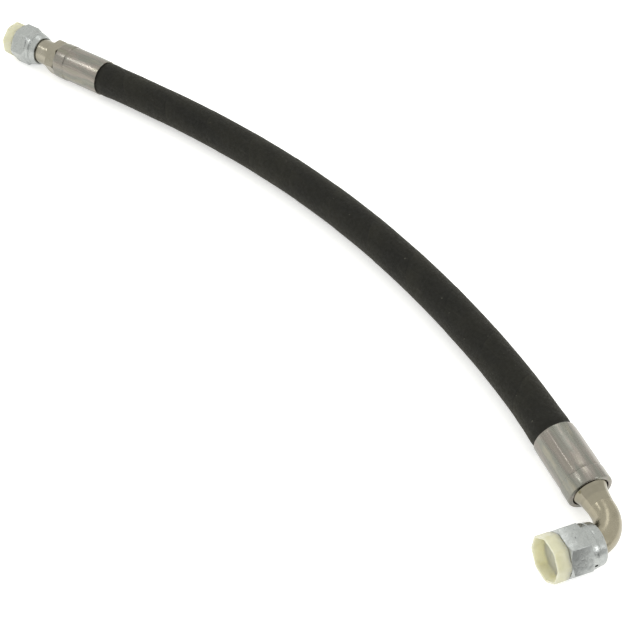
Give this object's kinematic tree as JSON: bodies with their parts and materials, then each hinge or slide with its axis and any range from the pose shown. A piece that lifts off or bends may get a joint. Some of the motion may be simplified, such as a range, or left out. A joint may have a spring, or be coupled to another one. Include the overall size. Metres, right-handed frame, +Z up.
{
  "type": "hydraulic hose assembly",
  "caption": "Wire-braided rubber hydraulic hose with crimped ferrules, a straight swivel nut at one end, a right-angle swivel elbow at the other, and plastic shipping plugs.",
  "frame": {"origin": "middle of the box round the fittings, on the surface that the assembly lies on", "axes": "+Z up; the straight fitting points along -X; the hose bends towards -Y and ends in the elbow, whose nut points back and to -Y"},
  "size_m": [0.5927, 0.2343, 0.0282],
  "materials": {
    "cover_rubber": "matt black synthetic rubber with a wrapped-cloth impression",
    "inner_rubber": "smooth oil-resistant rubber",
    "braid_wire": "brass-coated high-tensile steel wire braid",
    "plated_ferrule": "zinc-nickel plated steel, warm satin, with die marks",
    "plated_stem": "zinc-nickel plated turned steel, warm satin",
    "plated_tube": "zinc-nickel plated drawn steel tube, warm satin",
    "braze": "plated-over braze fillet",
    "plated_nut": "zinc plated forged steel, cool and slightly mottled, with small dents",
    "spring_wire": "drawn spring steel wire",
    "plug_plastic": "natural translucent polyethylene, cream"
  },
  "bodies": {
    "hose_and_stems": {"hose_inner_tube": "inner_rubber", "hose_inner_braid": "braid_wire", "hose_friction_layer": "inner_rubber", "hose_outer_braid": "braid_wire", "hose_cover": "cover_rubber", "straight_ferrule": "plated_ferrule", "straight_insert": "plated_stem", "elbow_ferrule": "plated_ferrule", "elbow_tail": "plated_stem", "elbow_tube": "plated_tube", "elbow_nose": "plated_stem", "tail_braze": "braze", "nose_braze": "braze"},
    "straight_nut": {"straight_swivel_nut": "plated_nut", "straight_retaining_wire": "spring_wire"},
    "straight_plug": {"straight_shipping_plug": "plug_plastic"},
    "elbow_nut": {"elbow_swivel_nut": "plated_nut", "elbow_retaining_wire": "spring_wire"},
    "elbow_plug": {"elbow_shipping_plug": "plug_plastic"}
  },
  "joints": [
    {"name": "straight_nut_swivel", "type": "hinge", "parent": "hose_and_stems", "child": "straight_nut", "pos_m": [-0.2881, 0.1002, 0.0141], "axis": [-1, 0, 0], "continuous": true},
    {"name": "straight_plug_pull", "type": "slide", "parent": "straight_nut", "child": "straight_plug", "axis": [-1, 0, 0], "range_m": [0, 0.02]},
    {"name": "elbow_nut_swivel", "type": "hinge", "parent": "hose_and_stems", "child": "elbow_nut", "pos_m": [0.2714, -0.1037, 0.0141], "axis": [-0.5995, -0.8003, 0], "continuous": true},
    {"name": "elbow_plug_pull", "type": "slide", "parent": "elbow_nut", "child": "elbow_plug", "axis": [-0.5995, -0.8003, 0], "range_m": [0, 0.02]}
  ]
}
